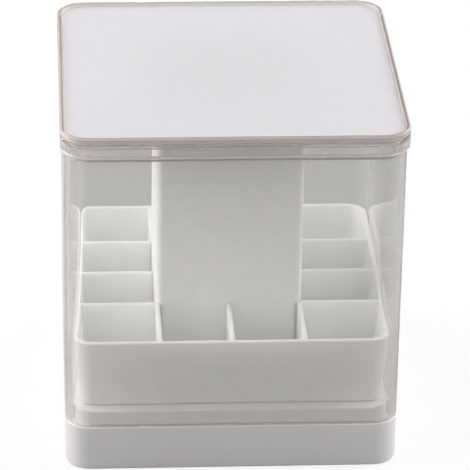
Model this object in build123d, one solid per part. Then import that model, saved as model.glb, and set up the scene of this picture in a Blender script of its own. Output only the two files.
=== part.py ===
from build123d import *
import os

os.makedirs("parts", exist_ok=True)

# All sizes are in millimetres. The origin is the centre of the underside, +Z is up
# and the front is at -Y.

# Case, the square outline that the base and the clear body share
case_width = 127.7
case_corner = 9.5
edge_break = 0.4

# Base
base_height = 18.4
base_wall = 2.4
base_foot_round = 1.0
plinth_rise = 6.0
pad_proud = 1.2
pad_end_from_side = 9.0
rib_thick = 2.0
rib_lift = 1.2

# Clear body
body_wall = 2.5
body_height = 114.1

# Lid
lid_overhang = 1.15
lid_corner = 10.9
lid_height = 8.2
lid_top_round = 0.8
lid_rim_width = 1.8
lid_plate = 1.8
plug_wall = 1.6
plug_depth = 2.6

# Lid panel
panel_thick = 1.6
panel_set_back = 1.3

# Compartment tray
tray_side_gap = 0.4
tray_front_gap = 2.25
tray_height = 28.5
tray_corner = 8.0
tray_foot_round = 3.5
tray_wall = 2.0
tray_floor = 2.0
tray_lip_round = 0.5
divider = 1.8
cells_per_side = 4
column_pitch = 27.6
row_pitch = 26.4

# Centre cup
cup_wall = 1.8
cup_floor = 2.0
cup_corner = 2.5
cup_headroom = 3.0
cup_lip_round = 0.5

# Clearances between pieces that come apart
plinth_clearance = 0.3
plug_clearance = 0.3
cup_clearance = 0.3
panel_clearance = 0.15

# What follows from the sizes above
body_inside = case_width - 2 * body_wall
body_top = base_height + body_height
plinth_top = base_height + plinth_rise
lid_width = case_width + 2 * lid_overhang
lid_top = body_top + lid_height
recess_floor = lid_top - panel_set_back - panel_thick
tray_width = body_inside - 2 * tray_side_gap
tray_depth = body_inside - 2 * tray_front_gap
tray_floor_top = plinth_top + tray_floor
well_width = 2 * column_pitch + divider
well_depth = 2 * row_pitch + divider


# Which end of a solid a flat face is at
LOWEST, HIGHEST = 0, -1


def slab(width, depth, corner, bottom, top):
    """Upright block with rounded vertical edges, between two heights."""
    outline = RectangleRounded(width, depth, corner)
    return Pos(0, 0, bottom) * extrude(outline, top - bottom)


def rim_of(solid, end):
    """The outside edges of a solid's LOWEST or HIGHEST flat face."""
    flats = solid.faces().filter_by(Plane.XY).group_by(Axis.Z)[end]
    return flats.sort_by(SortBy.AREA)[-1].outer_wire().edges()


def pad_bar(length, reach, bottom, top):
    """The locating pads on two opposite sides of the plinth, as one bar through it."""
    return Pos(0, 0, (bottom + top) / 2) * Box(length, 2 * reach, top - bottom)


def make_base():
    """White base: a shell open underneath, with a plinth that the clear body fits around."""
    pad_reach = body_inside / 2 - plinth_clearance
    pad_length = case_width - 2 * pad_end_from_side
    core_width = 2 * (pad_reach - pad_proud)
    core_corner = case_corner - body_wall - plinth_clearance - pad_proud
    skirt = slab(case_width, case_width, case_corner, 0, base_height)
    skirt = fillet(rim_of(skirt, LOWEST), base_foot_round)
    skirt = fillet(rim_of(skirt, HIGHEST), edge_break)
    plinth = slab(core_width, core_width, core_corner, base_height, plinth_top)
    bar = pad_bar(pad_length, pad_reach, base_height, plinth_top)
    plinth = plinth + bar + Rot(0, 0, 90) * bar
    plinth = fillet(rim_of(plinth, HIGHEST), edge_break)
    skirt_hollow = slab(
        case_width - 2 * base_wall, case_width - 2 * base_wall,
        case_corner - base_wall, 0, base_height - base_wall,
    )
    plinth_hollow = slab(
        core_width - 2 * base_wall, core_width - 2 * base_wall,
        core_corner - base_wall, 0, plinth_top - base_wall,
    )
    shell = skirt + plinth - skirt_hollow - plinth_hollow
    rib_top = plinth_top - base_wall / 2
    rib = Pos(0, 0, (rib_lift + rib_top) / 2) * Box(case_width, rib_thick, rib_top - rib_lift)
    ribs = (rib + Rot(0, 0, 90) * rib) & (skirt_hollow + plinth_hollow)
    return shell + ribs


def make_body():
    """Clear body: a square tube, open above and below."""
    tube = slab(case_width, case_width, case_corner, base_height, body_top)
    tube = fillet(rim_of(tube, LOWEST), edge_break)
    tube = fillet(rim_of(tube, HIGHEST), edge_break)
    inside = case_corner - body_wall
    return tube - slab(body_inside, body_inside, inside, base_height, body_top)


def make_lid():
    """Clear lid: a rimmed cap that rests on the body, with a plug ring inside it."""
    cap = slab(lid_width, lid_width, lid_corner, body_top, lid_top)
    cap = fillet(rim_of(cap, HIGHEST), lid_top_round)
    cap = fillet(rim_of(cap, LOWEST), edge_break)
    recess_width = lid_width - 2 * lid_rim_width
    recess = slab(recess_width, recess_width, lid_corner - lid_rim_width, recess_floor, lid_top)
    plug_width = body_inside - 2 * plug_clearance
    plug_corner = case_corner - body_wall - plug_clearance
    plug = slab(plug_width, plug_width, plug_corner, body_top - plug_depth, recess_floor)
    hollow_width = plug_width - 2 * plug_wall
    hollow = slab(
        hollow_width, hollow_width, plug_corner - plug_wall,
        body_top - plug_depth, recess_floor - lid_plate,
    )
    return cap + plug - recess - hollow


def make_panel():
    """White panel that lies in the recess of the lid."""
    width = lid_width - 2 * lid_rim_width - 2 * panel_clearance
    corner = lid_corner - lid_rim_width - panel_clearance
    top = recess_floor + panel_thick
    panel = slab(width, width, corner, recess_floor, top)
    return fillet(rim_of(panel, HIGHEST), edge_break)


def make_tray():
    """White tray: a ring of open cells around a well for the centre cup."""
    top = plinth_top + tray_height
    tub = slab(tray_width, tray_depth, tray_corner, plinth_top, top)
    tub = fillet(rim_of(tub, LOWEST), tray_foot_round)
    tub = fillet(rim_of(tub, HIGHEST), tray_lip_round)
    hollow = slab(
        tray_width - 2 * tray_wall, tray_depth - 2 * tray_wall,
        tray_corner - tray_wall, tray_floor_top, top,
    )
    bar_height = top - tray_floor_top
    middle = tray_floor_top + bar_height / 2
    steps = [i - cells_per_side / 2 for i in range(1, cells_per_side)]
    bars = [
        Pos(step * column_pitch, 0, middle) * Box(divider, tray_depth, bar_height)
        for step in steps
    ] + [
        Pos(0, step * row_pitch, middle) * Box(tray_width, divider, bar_height)
        for step in steps
    ]
    well = slab(well_width, well_depth, cup_corner + cup_clearance, tray_floor_top, top)
    dividers = (Part() + bars) & hollow
    return tub - hollow + (dividers - well)


def make_cup():
    """White centre cup: a tall open box that stands in the well of the tray."""
    width = well_width - 2 * cup_clearance
    depth = well_depth - 2 * cup_clearance
    top = body_top - plug_depth - cup_headroom
    cup = slab(width, depth, cup_corner, tray_floor_top, top)
    cup = fillet(rim_of(cup, HIGHEST), cup_lip_round)
    hollow = slab(
        width - 2 * cup_wall, depth - 2 * cup_wall, cup_corner - cup_wall,
        tray_floor_top + cup_floor, top,
    )
    return cup - hollow


pieces = {
    "base": make_base(),
    "clear_body": make_body(),
    "lid_shell": make_lid(),
    "lid_panel": make_panel(),
    "compartment_tray": make_tray(),
    "centre_cup": make_cup(),
}

for name, piece in pieces.items():
    export_step(piece, f"parts/{name}.step")
    print(name, round(piece.volume), piece.bounding_box().size)
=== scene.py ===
import math

import bmesh
import bpy
from mathutils import Matrix, Vector


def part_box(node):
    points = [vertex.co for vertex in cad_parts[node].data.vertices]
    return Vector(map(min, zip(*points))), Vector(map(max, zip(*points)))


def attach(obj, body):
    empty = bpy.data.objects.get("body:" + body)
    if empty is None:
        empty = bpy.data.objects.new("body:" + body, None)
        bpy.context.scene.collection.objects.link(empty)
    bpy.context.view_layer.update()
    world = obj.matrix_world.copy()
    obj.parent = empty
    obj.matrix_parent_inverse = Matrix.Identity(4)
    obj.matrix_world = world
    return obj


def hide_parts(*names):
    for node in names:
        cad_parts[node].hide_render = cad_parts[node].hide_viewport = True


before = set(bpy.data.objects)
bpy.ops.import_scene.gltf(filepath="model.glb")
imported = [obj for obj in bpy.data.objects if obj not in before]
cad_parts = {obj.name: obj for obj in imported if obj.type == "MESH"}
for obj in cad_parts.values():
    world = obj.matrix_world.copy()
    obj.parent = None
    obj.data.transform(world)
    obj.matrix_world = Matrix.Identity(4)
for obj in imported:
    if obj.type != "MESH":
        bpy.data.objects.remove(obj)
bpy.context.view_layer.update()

# Lengths are in metres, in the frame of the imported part: +Z is up and the front is at -Y.
MM = 0.001

CASE_CORNER = 9.5 * MM
EDGE_BREAK = 0.4 * MM
BODY_WALL = 2.5 * MM
LID_CORNER = 10.9 * MM
LID_TOP_ROUND = 0.8 * MM
LID_RIM = 1.8 * MM
LID_PLATE = 1.8 * MM
PANEL_THICK = 1.6 * MM
PANEL_SET_BACK = 1.3 * MM
PANEL_CLEARANCE = 0.15 * MM
PLUG_CLEARANCE = 0.3 * MM
PLUG_WALL = 1.6 * MM
SKIRT_REST = 1.0 * MM
TRAY_CORNER = 8.0 * MM
TRAY_FOOT_ROUND = 1.2 * MM
TRAY_WALL = 2.0 * MM
TRAY_DRAFT = 3.0 * MM
TRAY_FLOOR = 2.0 * MM
DIVIDER = 1.8 * MM
CELLS_PER_SIDE = 4
COLUMN_PITCH = 27.6 * MM
ROW_PITCH = 26.4 * MM
LIP_ROUND = 0.5 * MM
INNER_ROUND = 0.6 * MM
CUP_WALL = 1.8 * MM
CUP_FLOOR = 2.0 * MM
CUP_CORNER = 2.5 * MM
CUP_CLEARANCE = 0.3 * MM

# Resting pieces touch only here and there, so a hair of air stays between clear faces.
AIR = 0.03 * MM
LEAST_CORNER = 0.3 * MM
CORNER_STEPS = 16
ROUND_STEPS = 4
SHARP_ANGLE = math.radians(40)

# Finishes
SEEP_DEPTH = 5.0 * MM
PLASTIC_IOR = 1.5
CLEAR_IOR = 1.49
HAZE_COLOUR = (0.90, 0.87, 0.84, 1.0)
EDGE_CLEARNESS = 0.5
EDGE_ROUGHNESS, EDGE_WEAR = 0.25, 0.2
GRAIN_SHARE, GRAIN_STRENGTH = 0.35, 0.25
RIPPLE_STRENGTH, RIPPLE_DEPTH = 0.1, 0.1 * MM

# Of a lamp's light, a clear face takes less than it takes of what is seen through it.
LAMP_TINT_POWER = 0.25

# Light that enters a clear wall edge-on is mirrored many times before it leaves.
MOST_BOUNCES = 64

# The dividers end half-way through the tub's leaning wall.
REACH_IN_WALL = (0.985, 0.985, 1.02)

# The ground is a matt white, with a share of plain white glow where it is looked at. To all
# other rays it is greyer, so that it throws little light up on the object.
GROUND_REACH = 6.0
GROUND_SEEN = 0.95
GROUND_LIGHTING = 0.52
GROUND_GLOW = 0.78
GROUND_GLOW_MIRRORED = 0.15

# The world's strength as light, and as it looks through clear plastic. To the eye it is 1.
AMBIENT = 0.19
WHITE_THROUGH_CLEAR = 0.8

# Each lamp's name, place, width, height and power in watts
LAMP_AIM = (0, 0, 0.07)
LAMPS = (
    ("left_box", (-1.07, 0.1, 0.58), 1.3, 1.1, 18.3),
    ("right_box", (1.07, 0.1, 0.58), 1.3, 1.1, 14.0),
    ("front_box", (0.2, -1.1, 0.75), 1.2, 0.8, 1.7),
    ("back_box", (0.85, 0.75, 0.5), 0.7, 0.9, 4.0),
)

# Camera, in metres, degrees and the lens's millimetres
CAMERA_PLACE = (-0.071694, -1.163310, 0.656391)
CAMERA_DOWN, CAMERA_RIGHT, CAMERA_TILT = 26.775, 3.715, 0.991
CAMERA_SENSOR, CAMERA_LENS = 36.0, 254.07
CAMERA_FAR = 20


class Wire:
    """An output of a node graph, so that node maths is written as ordinary sums."""

    def __init__(self, graph, socket):
        self.graph, self.socket = graph, socket

    def maths(self, operation, *values):
        return self.graph.add("ShaderNodeMath", values, operation=operation)

    def __add__(self, other):
        return self.maths("ADD", self, other)

    def __sub__(self, other):
        return self.maths("SUBTRACT", self, other)

    def __rsub__(self, other):
        return self.maths("SUBTRACT", other, self)

    def __mul__(self, other):
        return self.maths("MULTIPLY", self, other)

    def __truediv__(self, other):
        return self.maths("DIVIDE", self, other)

    __radd__ = __add__
    __rmul__ = __mul__


class Graph:
    """A node tree that is filled through one method."""

    def __init__(self, tree):
        self.tree = tree

    def add(self, kind, sockets=(), out=None, **settings):
        """Adds a node, sets it, fills its sockets with values or wires, and returns an output.

        A list of wires goes to one socket that takes several.
        """
        node = self.tree.nodes.new(kind)
        for name, value in settings.items():
            setattr(node, name, value)
        if not isinstance(sockets, dict):
            sockets = dict(enumerate(sockets))
        for key, value in sockets.items():
            for item in value if isinstance(value, list) else [value]:
                if isinstance(item, Wire):
                    self.tree.links.new(item.socket, node.inputs[key])
                else:
                    node.inputs[key].default_value = item
        if not node.outputs:
            return None
        if out is None:
            return Wire(self, next(s for s in node.outputs if s.enabled))
        return Wire(self, node.outputs[out])

    def blend(self, share, first, second):
        """A colour between two others. A Mix node's colours are its sockets 6 and 7, and output 2."""
        return self.add(
            "ShaderNodeMix", {0: share, 6: first, 7: second}, out=2, data_type="RGBA"
        )

    def most(self, first, second):
        return self.add("ShaderNodeMath", (first, second), operation="MAXIMUM")

    def rays(self, *kinds):
        """For each kind of ray, 1 where a ray is of it and 0 elsewhere."""
        return [self.add("ShaderNodeLightPath", out=f"Is {kind} Ray") for kind in kinds]

    def noise(self, place, scale, detail=2.0, roughness=0.5):
        sockets = {"Vector": place, "Scale": scale, "Detail": detail, "Roughness": roughness}
        return self.add("ShaderNodeTexNoise", sockets, out="Fac")


def grey(level):
    return (level, level, level, 1.0)


def new_material(name):
    material = bpy.data.materials.new(name)
    material.use_nodes = True
    material.node_tree.nodes.clear()
    return material, Graph(material.node_tree)


def moulded_plastic(name, dark, light, least_rough, most_rough, grain_depth, seep=0.0):
    """Opaque moulded plastic: faint flow shades, a fine grain and handled patches of gloss."""
    material, graph = new_material(name)
    place = graph.add("ShaderNodeTexCoord", out="Object")
    flow = graph.noise(place, scale=24, detail=3.0)
    patches = graph.noise(place, scale=75, detail=4.0, roughness=0.6)
    grain = graph.noise(place, scale=1500, detail=2.0)
    swell = graph.noise(place, scale=90)
    height = grain * GRAIN_SHARE + swell
    bump = graph.add(
        "ShaderNodeBump", {"Strength": GRAIN_STRENGTH, "Distance": grain_depth, "Height": height}
    )
    shader = graph.add("ShaderNodeBsdfPrincipled", {
        "Base Color": graph.blend(flow * 0.6 + patches * 0.4, dark, light),
        "Roughness": patches * (most_rough - least_rough) + least_rough,
        "IOR": PLASTIC_IOR,
        "Subsurface Weight": seep,
        "Subsurface Radius": (1.0, 1.0, 1.0),
        "Subsurface Scale": SEEP_DEPTH,
        "Normal": bump,
    })
    graph.add("ShaderNodeOutputMaterial", {"Surface": shader})
    return material


def clear_plastic(name, tint, most_rough, depth_tint, depth_density, haze):
    """Clear moulded plastic with a milky film. Lamp rays take it as plain tint, so they pass."""
    material, graph = new_material(name)
    place = graph.add("ShaderNodeTexCoord", out="Object")
    smudges = graph.noise(place, scale=55, detail=4.0, roughness=0.65)
    ripple = graph.noise(place, scale=30)
    bump = graph.add(
        "ShaderNodeBump", {"Strength": RIPPLE_STRENGTH, "Distance": RIPPLE_DEPTH, "Height": ripple}
    )
    shader = graph.add("ShaderNodeBsdfPrincipled", {
        "Base Color": tint,
        "Roughness": smudges * most_rough,
        "IOR": CLEAR_IOR,
        "Transmission Weight": 1.0,
        "Normal": bump,
    })
    film = graph.add("ShaderNodeBsdfDiffuse", {"Color": HAZE_COLOUR, "Normal": bump})
    shader = graph.add("ShaderNodeMixShader", ((smudges + 0.5) * haze, shader, film))
    passed = graph.add("ShaderNodeBsdfTransparent", {
        "Color": tuple(share ** LAMP_TINT_POWER for share in tint),
    })
    lamp_ray, = graph.rays("Shadow")
    surface = graph.add("ShaderNodeMixShader", (lamp_ray, shader, passed))
    depth = graph.add("ShaderNodeVolumeAbsorption", {"Color": depth_tint, "Density": depth_density})
    graph.add("ShaderNodeOutputMaterial", {"Surface": surface, "Volume": depth})
    return material


def frosted_edge(name, colour):
    """The broken edges of clear mouldings, slightly rough, which catch the light. Given a dark
    colour, it paints shade.
    """
    material, graph = new_material(name)
    place = graph.add("ShaderNodeTexCoord", out="Object")
    wear = graph.noise(place, scale=120, detail=3.0)
    shader = graph.add("ShaderNodeBsdfPrincipled", {
        "Base Color": colour,
        "Roughness": wear * EDGE_WEAR + EDGE_ROUGHNESS,
        "IOR": CLEAR_IOR,
        "Transmission Weight": EDGE_CLEARNESS,
    })
    graph.add("ShaderNodeOutputMaterial", {"Surface": shader})
    return material


white_plastic = moulded_plastic(
    "white_moulded", (0.95, 0.95, 0.935, 1), (0.98, 0.98, 0.965, 1),
    least_rough=0.30, most_rough=0.42, grain_depth=0.05 * MM, seep=0.9,
)
# The cup gets a greyer copy of the tray's white plastic: painted shade on the cup.
cup_painted_shade = moulded_plastic(
    "white_cup_painted_shade", (0.86, 0.85, 0.835, 1), (0.91, 0.90, 0.885, 1),
    least_rough=0.42, most_rough=0.54, grain_depth=0.05 * MM, seep=0.2,
)
# The panel's sides and lower edge get a darker, browner copy of its white: painted shade in the gap
# by the rim.
panel_side_painted_shade = moulded_plastic(
    "painted_shade_panel_side", (0.78, 0.70, 0.67, 1), (0.86, 0.78, 0.75, 1),
    least_rough=0.40, most_rough=0.55, grain_depth=0.05 * MM,
)
# The tray's outer faces get a greyer copy of its cells' white plastic: painted shade on the outside
# of the tray.
tray_outside_painted_shade = moulded_plastic(
    "white_tray_outside_painted_shade", (0.76, 0.745, 0.725, 1), (0.81, 0.795, 0.775, 1),
    least_rough=0.32, most_rough=0.45, grain_depth=0.05 * MM, seep=0.2,
)
base_plastic = moulded_plastic(
    "white_base_moulded", (0.73, 0.71, 0.70, 1), (0.78, 0.76, 0.75, 1),
    least_rough=0.26, most_rough=0.38, grain_depth=0.05 * MM,
)
panel_plastic = moulded_plastic(
    "white_panel_gloss", (0.73, 0.71, 0.76, 1), (0.77, 0.75, 0.80, 1),
    least_rough=0.16, most_rough=0.24, grain_depth=0.03 * MM, seep=1.0,
)
edge_plastic = frosted_edge("clear_edge", (0.90, 0.87, 0.85, 1))
# Dark brown on the edges where the clear pieces rest is painted shade at the joints.
seat_edge_painted_shade = frosted_edge("clear_seat_edge_painted_shade", (0.44, 0.37, 0.34, 1))
# Brownish on the lid's top rounds is painted shade that darkens the rim.
rim_edge_painted_shade = frosted_edge("clear_rim_edge_painted_shade", (0.62, 0.55, 0.52, 1))
recess_wall_plastic = frosted_edge("clear_recess_wall", (0.96, 0.89, 0.86, 1))
clear_body_plastic = clear_plastic(
    "clear_wall", (0.80, 0.80, 0.79, 1), most_rough=0.03,
    depth_tint=(0.55, 0.51, 0.49, 1), depth_density=10.0, haze=0.12,
)
clear_lid_plastic = clear_plastic(
    "clear_lid", (0.92, 0.90, 0.89, 1), most_rough=0.03,
    depth_tint=(0.70, 0.60, 0.56, 1), depth_density=22.0, haze=0.04,
)


def outline(width, depth, corner, height):
    """Points around an upright rounded rectangle, anticlockwise from above."""
    points = []
    for quarter, (side, end) in enumerate(((1, 1), (-1, 1), (-1, -1), (1, -1))):
        centre = Vector((side * (width / 2 - corner), end * (depth / 2 - corner), height))
        for step in range(CORNER_STEPS + 1):
            turn = (quarter + step / CORNER_STEPS) * math.pi / 2
            points.append(centre + corner * Vector((math.cos(turn), math.sin(turn), 0)))
    return points


def inset_of(point, width, depth, corner):
    """How far a point lies inside an upright rounded rectangle."""
    across, along = abs(point.x) - width / 2 + corner, abs(point.y) - depth / 2 + corner
    if across > 0 and along > 0:
        return corner - math.hypot(across, along)
    return corner - max(across, along)


def rounded_section(corners):
    """Points of a wall's section, with each corner (inset, height, radius) turned to an arc."""
    points = []
    for i, (inset, height, radius) in enumerate(corners):
        here = Vector((inset, height))
        if not radius:
            points.append((here, i))
            continue
        back = (Vector(corners[i - 1][:2]) - here).normalized()
        ahead = (Vector(corners[(i + 1) % len(corners)][:2]) - here).normalized()
        half = back.angle(ahead) / 2
        centre = here + (back + ahead).normalized() * radius / math.sin(half)
        start = (here + back * radius / math.tan(half) - centre).normalized()
        end = (here + ahead * radius / math.tan(half) - centre).normalized()
        for step in range(ROUND_STEPS + 1):
            points.append((centre + radius * start.slerp(end, step / ROUND_STEPS), i))
    return points


def add_piece(name, mesh, *materials):
    """Turns a bmesh into a smooth-shaded object at the origin."""
    bmesh.ops.recalc_face_normals(mesh, faces=mesh.faces)
    data = bpy.data.meshes.new(name)
    mesh.to_mesh(data)
    mesh.free()
    for material in materials:
        data.materials.append(material)
    return place_piece(name, data)


def place_piece(name, data):
    piece = bpy.data.objects.new(name, data)
    bpy.context.scene.collection.objects.link(piece)
    shade(piece)
    return piece


def shade(piece):
    """Smooth shading that leaves large flats flat."""
    piece.data.shade_smooth()
    piece.data.set_sharp_from_angle(angle=SHARP_ANGLE)
    weigh = piece.modifiers.new("flat faces stay flat", "WEIGHTED_NORMAL")
    weigh.keep_sharp = True


def swept_wall(name, material, width, depth, corner, section, finishes=None, closed=False):
    """A wall's section swept around a rounded rectangle. An open section is capped at both ends.

    Finishes gives parts of the section a material of their own: the round of a corner by its
    number, and the flat between two corners by both numbers.
    """
    finishes = finishes or {}
    materials = [material] + list(dict.fromkeys(finishes.values()))
    mesh = bmesh.new()
    rings = []
    for (inset, height), at in rounded_section(section):
        corner_here = max(corner - inset, LEAST_CORNER)
        loop = outline(width - 2 * inset, depth - 2 * inset, corner_here, height)
        rings.append(([mesh.verts.new(point) for point in loop], at))
    neighbours = list(zip(rings, rings[1:]))
    if closed:
        neighbours.append((rings[-1], rings[0]))
    else:
        mesh.faces.new(rings[0][0])
        mesh.faces.new(rings[-1][0])
    for (here, at), (there, next_at) in neighbours:
        part = at if at == next_at else (at, next_at)
        for i in range(len(here)):
            face = mesh.faces.new((here[i - 1], here[i], there[i], there[i - 1]))
            face.material_index = materials.index(finishes.get(part, material))
    return add_piece(name, mesh, *materials)


def make_clear_body():
    low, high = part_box("clear_body")
    return swept_wall(
        "clear_body_wall", clear_body_plastic, high.x - low.x, high.y - low.y, CASE_CORNER, [
            (0, low.z + AIR, EDGE_BREAK),
            (0, high.z - AIR, EDGE_BREAK),
            (BODY_WALL, high.z - AIR, EDGE_BREAK),
            (BODY_WALL, low.z + AIR, EDGE_BREAK),
        # The wall's lower inner round takes the painted shade of the seat.
        ], {1: edge_plastic, 2: edge_plastic, 3: seat_edge_painted_shade}, closed=True,
    )


def make_clear_lid():
    """A rim, a thin skirt that rests on the body, and a plug ring inside, with a groove between."""
    low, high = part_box("lid_shell")
    body_low, body_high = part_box("clear_body")
    recess_floor = high.z - PANEL_SET_BACK - PANEL_THICK
    overhang = (high.x - low.x - body_high.x + body_low.x) / 2
    plug = overhang + BODY_WALL + PLUG_CLEARANCE
    hollow = plug + PLUG_WALL
    ceiling = recess_floor - LID_PLATE
    groove = overhang + SKIRT_REST
    return swept_wall(
        "clear_lid_shell", clear_lid_plastic, high.x - low.x, high.y - low.y, LID_CORNER, [
            (LID_RIM + INNER_ROUND, recess_floor, 0),
            (LID_RIM, recess_floor, INNER_ROUND / 2),
            (LID_RIM, high.z, LID_TOP_ROUND / 2),
            (0, high.z, LID_TOP_ROUND),
            (0, body_high.z, EDGE_BREAK),
            (groove, body_high.z, EDGE_BREAK),
            (groove, ceiling, EDGE_BREAK),
            (plug, ceiling, EDGE_BREAK),
            (plug, low.z, EDGE_BREAK),
            (hollow, low.z, EDGE_BREAK),
            (hollow, ceiling, INNER_ROUND),
            (hollow + 2 * INNER_ROUND, ceiling, 0),
        # The rim's top rounds and the face that rests on the body take painted shade.
        ], {
            (1, 2): recess_wall_plastic, 2: rim_edge_painted_shade, 3: rim_edge_painted_shade,
            4: edge_plastic, (4, 5): seat_edge_painted_shade, 5: edge_plastic,
            8: edge_plastic, 9: edge_plastic,
        },
    )


def make_lid_panel():
    """The panel is glued down, so its underside lies a hair inside the recess floor."""
    low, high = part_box("lid_panel")
    return swept_wall(
        "lid_top_panel", panel_plastic, high.x - low.x, high.y - low.y,
        LID_CORNER - LID_RIM - PANEL_CLEARANCE, [
            (EDGE_BREAK, low.z - AIR, 0),
            (0, low.z - AIR, EDGE_BREAK / 2),
            (0, high.z, EDGE_BREAK),
            (2 * EDGE_BREAK, high.z, 0),
        # The sides and lower edge of the panel take the painted shade.
        ], {1: panel_side_painted_shade, (1, 2): panel_side_painted_shade},
    )


def make_cup():
    low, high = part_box("centre_cup")
    return swept_wall(
        "centre_cup_shell", cup_painted_shade, high.x - low.x, high.y - low.y, CUP_CORNER, [
            (2 * INNER_ROUND, low.z, 0),
            (0, low.z, INNER_ROUND),
            (0, high.z, LIP_ROUND),
            (CUP_WALL, high.z, LIP_ROUND),
            (CUP_WALL, low.z + CUP_FLOOR, INNER_ROUND),
            (CUP_WALL + 2 * INNER_ROUND, low.z + CUP_FLOOR, 0),
        ],
    )


def dividers_tree():
    """Geometry Nodes tree: rows and columns of ribs with rounded tops, less the cup's well."""
    tree = bpy.data.node_groups.new("cell_dividers", "GeometryNodeTree")
    tree.interface.new_socket("Geometry", in_out="INPUT", socket_type="NodeSocketGeometry")
    tree.interface.new_socket("Geometry", in_out="OUTPUT", socket_type="NodeSocketGeometry")
    for name in ("Width", "Depth", "Bottom", "Top", "Thickness", "Lip Round",
                 "Column Pitch", "Row Pitch", "Well Corner"):
        tree.interface.new_socket(name, in_out="INPUT", socket_type="NodeSocketFloat")
    tree.interface.new_socket("Ribs", in_out="INPUT", socket_type="NodeSocketInt")
    tree.interface.new_socket("Finish", in_out="INPUT", socket_type="NodeSocketMaterial")
    graph = Graph(tree)

    def given(name):
        return graph.add("NodeGroupInput", out=name)

    def point(x=0.0, y=0.0, z=0.0):
        return graph.add("ShaderNodeCombineXYZ", (x, y, z))

    def ribs(length, pitch, turn):
        """Parallel ribs along Y, a pitch apart, then turned about Z. A section's +Y hangs down."""
        half = given("Thickness") / 2
        section = graph.add("GeometryNodeCurvePrimitiveQuadrilateral", {
            "Point 1": point(half * -1, given("Top") * -1),
            "Point 2": point(half, given("Top") * -1),
            "Point 3": point(half, given("Bottom") * -1),
            "Point 4": point(half * -1, given("Bottom") * -1),
        }, mode="POINTS")
        corner = graph.add("GeometryNodeInputIndex")
        at_top = graph.add("ShaderNodeMath", (corner, 1.5), operation="LESS_THAN")
        section = graph.add("GeometryNodeFilletCurve", {
            "Curve": section, "Radius": at_top * given("Lip Round"), "Count": ROUND_STEPS,
        }, mode="POLY")
        path = graph.add("GeometryNodeCurvePrimitiveLine", {
            "Start": point(y=length * -0.5), "End": point(y=length * 0.5),
        })
        rib = graph.add("GeometryNodeCurveToMesh", {
            "Curve": path, "Profile Curve": section, "Fill Caps": True,
        })
        places = graph.add("GeometryNodeMeshLine", {
            "Count": given("Ribs"),
            "Start Location": point((1 - given("Ribs")) * pitch / 2),
            "Offset": point(pitch),
        })
        row = graph.add("GeometryNodeInstanceOnPoints", {"Points": places, "Instance": rib})
        return graph.add("GeometryNodeTransform", {"Geometry": row, "Rotation": (0, 0, turn)})

    def unite(first, second):
        """One solid out of two that cross."""
        return graph.add(
            "GeometryNodeMeshBoolean", {"Mesh 2": [first, second]},
            operation="UNION", solver="MANIFOLD",
        )

    columns = ribs(given("Depth"), given("Column Pitch"), 0)
    rows = ribs(given("Width"), given("Row Pitch"), math.pi / 2)
    well_outline = graph.add("GeometryNodeFilletCurve", {
        "Curve": graph.add("GeometryNodeCurvePrimitiveQuadrilateral", {
            "Width": 2 * given("Column Pitch") + given("Thickness"),
            "Height": 2 * given("Row Pitch") + given("Thickness"),
        }),
        "Radius": given("Well Corner"), "Count": CORNER_STEPS,
    }, mode="POLY")
    well = graph.add("GeometryNodeCurveToMesh", {
        "Curve": graph.add("GeometryNodeCurvePrimitiveLine", {
            "Start": point(z=given("Bottom") * 0.5), "End": point(z=given("Top") * 1.5),
        }),
        "Profile Curve": well_outline, "Fill Caps": True,
    })
    grid = unite(columns, rows)
    stubs = graph.add(
        "GeometryNodeMeshBoolean", {"Mesh 1": grid, "Mesh 2": well}, solver="MANIFOLD"
    )
    tub = given("Geometry")
    inside_tub = graph.add("GeometryNodeTransform", {
        "Geometry": graph.add("GeometryNodeConvexHull", {"Geometry": tub}), "Scale": REACH_IN_WALL,
    })
    trimmed = graph.add(
        "GeometryNodeMeshBoolean", {"Mesh 2": [stubs, inside_tub]},
        operation="INTERSECT", solver="MANIFOLD",
    )
    whole = unite(tub, trimmed)
    solid = graph.add("GeometryNodeRealizeInstances", {"Geometry": whole})
    finished = graph.add("GeometryNodeSetMaterial", {"Geometry": solid, "Material": given("Finish")})
    graph.add("NodeGroupOutput", {0: finished})
    return tree


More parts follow.
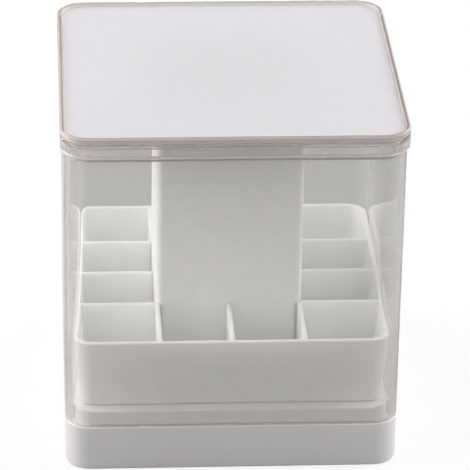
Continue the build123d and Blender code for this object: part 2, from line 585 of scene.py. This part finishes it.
def make_tray():
    """The tub is swept, then Geometry Nodes add the dividers to it."""
    low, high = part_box("compartment_tray")
    floor_top = low.z + TRAY_FLOOR
    tub = swept_wall(
        "tray_tub", white_plastic, high.x - low.x, high.y - low.y, TRAY_CORNER, [
            (TRAY_DRAFT + 2 * TRAY_FOOT_ROUND, low.z, 0),
            (TRAY_DRAFT, low.z, TRAY_FOOT_ROUND),
            (0, high.z, LIP_ROUND),
            (TRAY_WALL, high.z, LIP_ROUND),
            (TRAY_WALL + TRAY_DRAFT, floor_top, INNER_ROUND),
            (TRAY_WALL + TRAY_DRAFT + 2 * INNER_ROUND, floor_top, 0),
        ],
    )
    tub.modifiers.clear()
    tree = dividers_tree()
    grow = tub.modifiers.new("dividers", "NODES")
    grow.node_group = tree
    sizes = {
        "Width": high.x - low.x - TRAY_WALL,
        "Depth": high.y - low.y - TRAY_WALL,
        "Bottom": floor_top - TRAY_FLOOR / 2,
        "Top": high.z,
        "Thickness": DIVIDER,
        "Lip Round": LIP_ROUND,
        "Column Pitch": COLUMN_PITCH,
        "Row Pitch": ROW_PITCH,
        "Well Corner": CUP_CORNER + CUP_CLEARANCE,
        "Ribs": CELLS_PER_SIDE - 1,
        "Finish": white_plastic,
    }
    for socket in tree.interface.items_tree:
        if socket.name in sizes:
            grow[socket.identifier] = sizes[socket.name]
    evaluated = tub.evaluated_get(bpy.context.evaluated_depsgraph_get())
    data = bpy.data.meshes.new_from_object(evaluated)
    bpy.data.objects.remove(tub)
    data.name = "compartment_tray_cells"
    # Faces within a third of the wall of the tub's outer side take that greyer copy, as painted
    # shade.
    data.materials.append(tray_outside_painted_shade)
    for face in data.polygons:
        inset = inset_of(face.center, high.x - low.x, high.y - low.y, TRAY_CORNER)
        lean = TRAY_DRAFT * (high.z - face.center.z) / (high.z - low.z)
        face.material_index = int(inset - lean < TRAY_WALL / 3)
    return place_piece("compartment_tray_cells", data)


PIECES = (
    (make_clear_body, "body", "clear_body", "clear_plastic"),
    (make_clear_lid, "lid", "lid_shell", "clear_plastic"),
    (make_lid_panel, "lid", "lid_panel", "white_panel"),
    (make_tray, "tray", "compartment_tray", "white_plastic"),
    (make_cup, "cup", "centre_cup", "white_plastic"),
)
for make, body, node, slot in PIECES:
    piece = make()
    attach(piece, body)
    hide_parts(node)

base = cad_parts["base"]
base.data.materials.clear()
base.data.materials.append(base_plastic)


def make_floor():
    """White ground that keeps a soft shadow."""
    material, graph = new_material("ground_white")
    direct, mirrored, through = graph.rays("Camera", "Glossy", "Transmission")
    other = (1 - direct) * graph.most(mirrored, through)
    glow_share = direct * GROUND_GLOW + other * GROUND_GLOW_MIRRORED
    colour = graph.blend(direct, grey(GROUND_LIGHTING), grey(GROUND_SEEN))
    matt = graph.add("ShaderNodeBsdfDiffuse", {"Color": colour})
    glow = graph.add("ShaderNodeEmission", {"Color": grey(1.0), "Strength": 1.0})
    surface = graph.add("ShaderNodeMixShader", (glow_share, matt, glow))
    graph.add("ShaderNodeOutputMaterial", {"Surface": surface})
    mesh = bmesh.new()
    bmesh.ops.create_grid(mesh, x_segments=1, y_segments=1, size=GROUND_REACH)
    data = bpy.data.meshes.new("ground")
    mesh.to_mesh(data)
    mesh.free()
    data.materials.append(material)
    ground = bpy.data.objects.new("ground", data)
    ground.location.z = -AIR
    bpy.context.scene.collection.objects.link(ground)


def add_lamp(name, place, width, height, power):
    """A white soft box that faces the middle of the object."""
    data = bpy.data.lights.new(name, "AREA")
    data.shape = "RECTANGLE"
    data.size, data.size_y = width, height
    data.energy = power
    lamp = bpy.data.objects.new(name, data)
    away = Vector(place) - Vector(LAMP_AIM)
    lamp.matrix_world = Matrix.Translation(place) @ away.to_track_quat("Z", "Y").to_matrix().to_4x4()
    lamp.visible_camera = False
    lamp.visible_transmission = False
    bpy.context.scene.collection.objects.link(lamp)


def light_world():
    """White to the eye and in gloss, paler through clear plastic, and a soft fill for the rest."""
    world = bpy.data.worlds.new("studio")
    bpy.context.scene.world = world
    world.use_nodes = True
    world.node_tree.nodes.clear()
    graph = Graph(world.node_tree)
    direct, mirrored, through = graph.rays("Camera", "Glossy", "Transmission")
    seen = graph.most(graph.most(direct, mirrored), through * WHITE_THROUGH_CLEAR)
    fill = graph.add("ShaderNodeBackground", {"Color": grey(1.0), "Strength": AMBIENT})
    white = graph.add("ShaderNodeBackground", {"Color": grey(1.0), "Strength": 1.0})
    surface = graph.add("ShaderNodeMixShader", (seen, fill, white))
    graph.add("ShaderNodeOutputWorld", {"Surface": surface})


def add_camera():
    """A long lens that looks down on the front, a little from the left."""
    down, right, tilt = map(math.radians, (CAMERA_DOWN, CAMERA_RIGHT, CAMERA_TILT))
    data = bpy.data.cameras.new("photograph")
    data.sensor_width, data.lens = CAMERA_SENSOR, CAMERA_LENS
    data.clip_end = CAMERA_FAR
    camera = bpy.data.objects.new("photograph", data)
    camera.matrix_world = (
        Matrix.Translation(CAMERA_PLACE)
        @ Matrix.Rotation(-right, 4, "Z")
        @ Matrix.Rotation(math.pi / 2 - down, 4, "X")
        @ Matrix.Rotation(tilt, 4, "Z")
    )
    bpy.context.scene.collection.objects.link(camera)
    bpy.context.scene.camera = camera


make_floor()
light_world()
for lamp in LAMPS:
    add_lamp(*lamp)
add_camera()

scene = bpy.context.scene
scene.cycles.max_bounces = MOST_BOUNCES
scene.cycles.glossy_bounces = MOST_BOUNCES
scene.cycles.transmission_bounces = MOST_BOUNCES
scene.view_settings.view_transform = "Standard"
